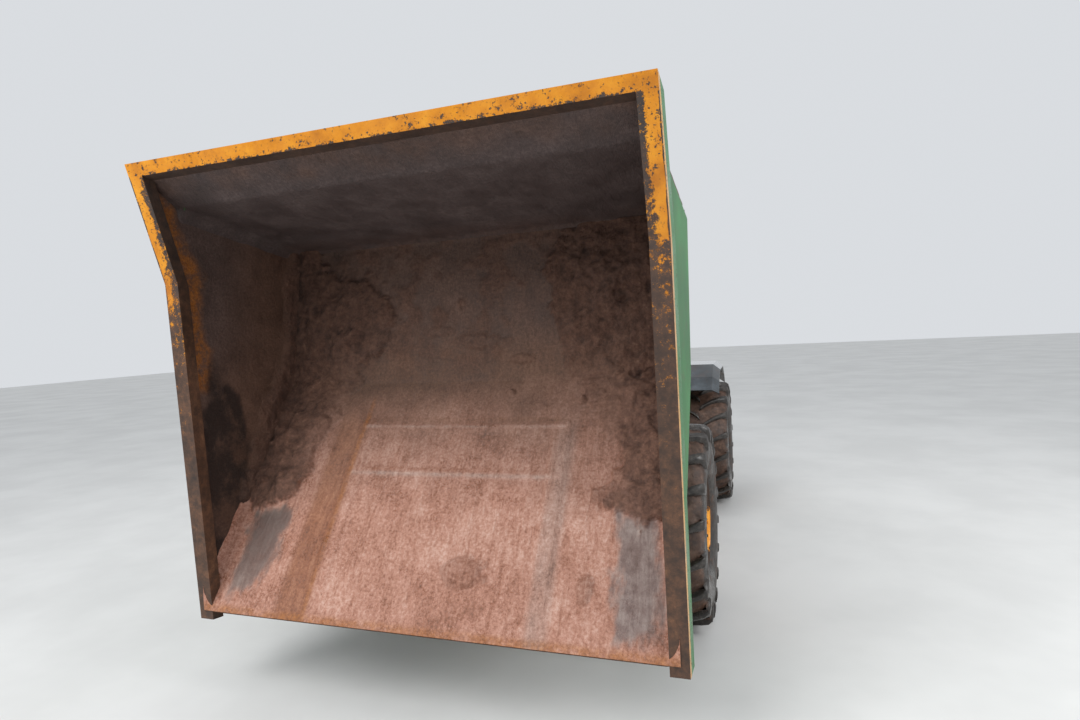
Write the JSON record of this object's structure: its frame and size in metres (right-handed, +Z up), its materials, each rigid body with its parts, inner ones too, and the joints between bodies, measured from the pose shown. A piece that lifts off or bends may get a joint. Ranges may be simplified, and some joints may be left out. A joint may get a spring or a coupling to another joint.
{
  "type": "articulated site dumper",
  "caption": "Articulated site dumper with a wide forward-tipping skip, lugged tyres, driver's place under a folding roll bar, and steering and tipping cylinders.",
  "frame": {"origin": "centre of the bounding box's bottom face, on the ground between the axles", "axes": "+Z up; -Y the way the machine faces, over the skip; +X its left side"},
  "size_m": [2.454, 5.2491, 3.29],
  "materials": {
    "tyre_rubber": "matt, muddy",
    "wheel_paint": "worn gloss",
    "skip_paint": "worn gloss",
    "rail_paint": "worn gloss",
    "chassis_paint": "worn gloss",
    "bonnet_paint": "gloss",
    "black_paint": "satin",
    "axle_iron": "matt, muddy",
    "pin_steel": "greasy",
    "rod_chrome": "polished",
    "guard_plastic": "matt",
    "seat_vinyl": "matt",
    "amber_lens": "gloss",
    "red_lens": "gloss"
  },
  "bodies": {
    "rear_frame": {"rear_chassis": "chassis_paint", "counterweight": "chassis_paint", "engine_block": "axle_iron", "gearbox_block": "axle_iron", "rear_axle": "axle_iron", "deck": "black_paint", "hydraulic_tank": "chassis_paint", "fuel_tank": "chassis_paint", "steps": "black_paint", "console": "black_paint", "steering_wheel": "guard_plastic", "seat_base": "black_paint", "seat": "seat_vinyl", "handrails": "chassis_paint", "mudguards": "guard_plastic", "rops_brackets": "black_paint", "exhaust": "black_paint", "tail_lamps": "red_lens"},
    "front_frame": {"front_chassis": "chassis_paint", "pivot_pin": "pin_steel", "skip_hinge_pins": "pin_steel", "front_axle": "axle_iron"},
    "skip": {"skip_shell": "skip_paint", "skip_rail": "rail_paint", "skip_underframe": "skip_paint"},
    "rops": {"rops_frame": "black_paint", "beacon": "amber_lens"},
    "bonnet": {"bonnet_shell": "bonnet_paint", "bonnet_grille": "black_paint"},
    "tip_barrel_left": {"tip_barrel_left": "black_paint"},
    "tip_rod_left": {"tip_rod_left": "rod_chrome"},
    "tip_barrel_right": {"tip_barrel_right": "black_paint"},
    "tip_rod_right": {"tip_rod_right": "rod_chrome"},
    "steer_barrel_left": {"steer_barrel_left": "black_paint"},
    "steer_rod_left": {"steer_rod_left": "rod_chrome"},
    "steer_barrel_right": {"steer_barrel_right": "black_paint"},
    "steer_rod_right": {"steer_rod_right": "rod_chrome"},
    "wheel_front_left": {"tyre_front_left": "tyre_rubber", "rim_front_left": "wheel_paint"},
    "wheel_front_right": {"tyre_front_right": "tyre_rubber", "rim_front_right": "wheel_paint"},
    "wheel_rear_left": {"tyre_rear_left": "tyre_rubber", "rim_rear_left": "wheel_paint"},
    "wheel_rear_right": {"tyre_rear_right": "tyre_rubber", "rim_rear_right": "wheel_paint"}
  },
  "joints": [
    {"name": "steering", "type": "hinge", "parent": "rear_frame", "child": "front_frame", "pos_m": [0, 0.35, 0.65], "axis": [0, 0, 1], "range_deg": [-33, 33]},
    {"name": "skip_tip", "type": "hinge", "parent": "front_frame", "child": "skip", "pos_m": [0, -1.344, 0.774], "axis": [-1, 0, 0], "range_deg": [0, 81]},
    {"name": "tip_swing_left", "type": "hinge", "parent": "front_frame", "child": "tip_barrel_left", "pos_m": [0.2, -0.4, 0.75], "axis": [-1, 0, 0], "range_deg": [0, 5.46]},
    {"name": "tip_stroke_left", "type": "slide", "parent": "tip_barrel_left", "child": "tip_rod_left", "axis": [0, 0.9662, -0.258], "range_m": [0, 0.434]},
    {"name": "tip_swing_right", "type": "hinge", "parent": "front_frame", "child": "tip_barrel_right", "pos_m": [-0.2, -0.4, 0.75], "axis": [-1, 0, 0], "range_deg": [0, 5.46]},
    {"name": "tip_stroke_right", "type": "slide", "parent": "tip_barrel_right", "child": "tip_rod_right", "axis": [0, 0.9662, -0.258], "range_m": [0, 0.434]},
    {"name": "steer_swing_left", "type": "hinge", "parent": "rear_frame", "child": "steer_barrel_left", "pos_m": [0.3, 0.9, 0.65], "axis": [0, 0, 1], "range_deg": [-11.4, 11.4]},
    {"name": "steer_stroke_left", "type": "slide", "parent": "steer_barrel_left", "child": "steer_rod_left", "axis": [0, -1, 0], "range_m": [-0.172, 0.172]},
    {"name": "steer_swing_right", "type": "hinge", "parent": "rear_frame", "child": "steer_barrel_right", "pos_m": [-0.3, 0.9, 0.65], "axis": [0, 0, 1], "range_deg": [-11.4, 11.4]},
    {"name": "steer_stroke_right", "type": "slide", "parent": "steer_barrel_right", "child": "steer_rod_right", "axis": [0, -1, 0], "range_m": [-0.172, 0.172]},
    {"name": "wheel_front_left_spin", "type": "hinge", "parent": "front_frame", "child": "wheel_front_left", "pos_m": [0.975, -1, 0.585], "axis": [1, 0, 0], "continuous": true},
    {"name": "wheel_front_right_spin", "type": "hinge", "parent": "front_frame", "child": "wheel_front_right", "pos_m": [-0.975, -1, 0.585], "axis": [1, 0, 0], "continuous": true},
    {"name": "wheel_rear_left_spin", "type": "hinge", "parent": "rear_frame", "child": "wheel_rear_left", "pos_m": [0.975, 1.7, 0.585], "axis": [1, 0, 0], "continuous": true},
    {"name": "wheel_rear_right_spin", "type": "hinge", "parent": "rear_frame", "child": "wheel_rear_right", "pos_m": [-0.975, 1.7, 0.585], "axis": [1, 0, 0], "continuous": true},
    {"name": "rops_fold", "type": "hinge", "parent": "rear_frame", "child": "rops", "pos_m": [0, 1.9, 1.25], "axis": [-1, 0, 0], "range_deg": [0, 95]},
    {"name": "bonnet_lid", "type": "hinge", "parent": "rear_frame", "child": "bonnet", "pos_m": [0, 2.491, 1.054], "axis": [-1, 0, 0], "range_deg": [0, 60]}
  ],
  "couplings": [
    {"joint": "tip_swing_left", "follows": "skip_tip", "ratio": 0.06678},
    {"joint": "tip_stroke_left", "follows": "skip_tip", "m_per_rad": 0.30626},
    {"joint": "tip_swing_right", "follows": "skip_tip", "ratio": 0.06678},
    {"joint": "tip_stroke_right", "follows": "skip_tip", "m_per_rad": 0.30626},
    {"joint": "steer_swing_left", "follows": "steering", "ratio": 0.3423},
    {"joint": "steer_stroke_left", "follows": "steering", "m_per_rad": -0.2947},
    {"joint": "steer_swing_right", "follows": "steering", "ratio": 0.3423},
    {"joint": "steer_stroke_right", "follows": "steering", "m_per_rad": 0.2947}
  ]
}
